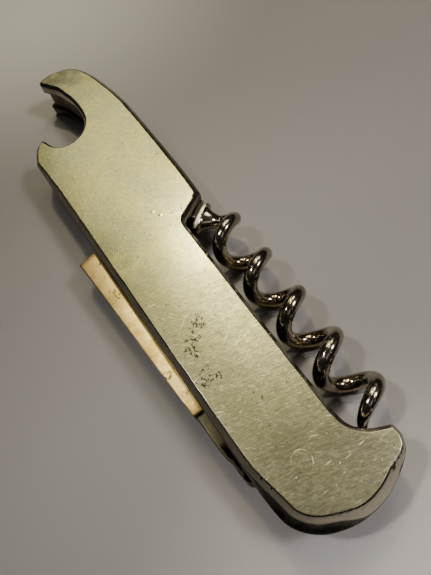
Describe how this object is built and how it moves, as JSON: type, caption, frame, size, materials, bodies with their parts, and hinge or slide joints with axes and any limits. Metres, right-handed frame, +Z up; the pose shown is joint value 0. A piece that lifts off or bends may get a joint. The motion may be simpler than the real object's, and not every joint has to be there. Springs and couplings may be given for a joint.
{
  "type": "lever corkscrew",
  "caption": "Folding pocket corkscrew with a hinged helical worm, a hinged lever that rests on the bottle rim and a cap-lifter claw.",
  "frame": {"origin": "under the middle of the whole object's box, on the surface it lies on, with the worm and the lever closed", "axes": "+X along the body from the claw to the heel, +Y towards the folded worm, +Z up out of the lower plate's outer face"},
  "size_m": [0.1132, 0.0304, 0.0092],
  "materials": {
    "worn_steel": "worn nickel-plated steel with cross scratches and fine pits",
    "lever_steel": "polished steel, slightly yellowed",
    "dark_worm": "glossy blackened nickel",
    "inner_steel": "dull spring steel"
  },
  "bodies": {
    "body": {"upper_plate": "worn_steel", "lower_plate": "worn_steel", "claw_spacer": "inner_steel", "spine_bar": "inner_steel", "heel_sleeve": "inner_steel", "worm_spring": "inner_steel", "lever_spring": "inner_steel", "worm_pin": "worn_steel", "lever_pin": "worn_steel", "claw_rivet_front": "worn_steel", "claw_rivet_rear": "worn_steel", "spine_rivet_front": "worn_steel", "spine_rivet_rear": "worn_steel", "heel_rivet": "worn_steel"},
    "worm": {"worm": "dark_worm"},
    "lever": {"lever": "lever_steel"}
  },
  "joints": [
    {"name": "worm_fold", "type": "hinge", "parent": "body", "child": "worm", "pos_m": [-0.00476, 0.00614, 0.0046], "axis": [0, 0, 1], "range_deg": [0, 95]},
    {"name": "lever_fold", "type": "hinge", "parent": "body", "child": "lever", "pos_m": [0.04664, -0.00346, 0.0046], "axis": [0, 0, 1], "range_deg": [0, 120]}
  ]
}
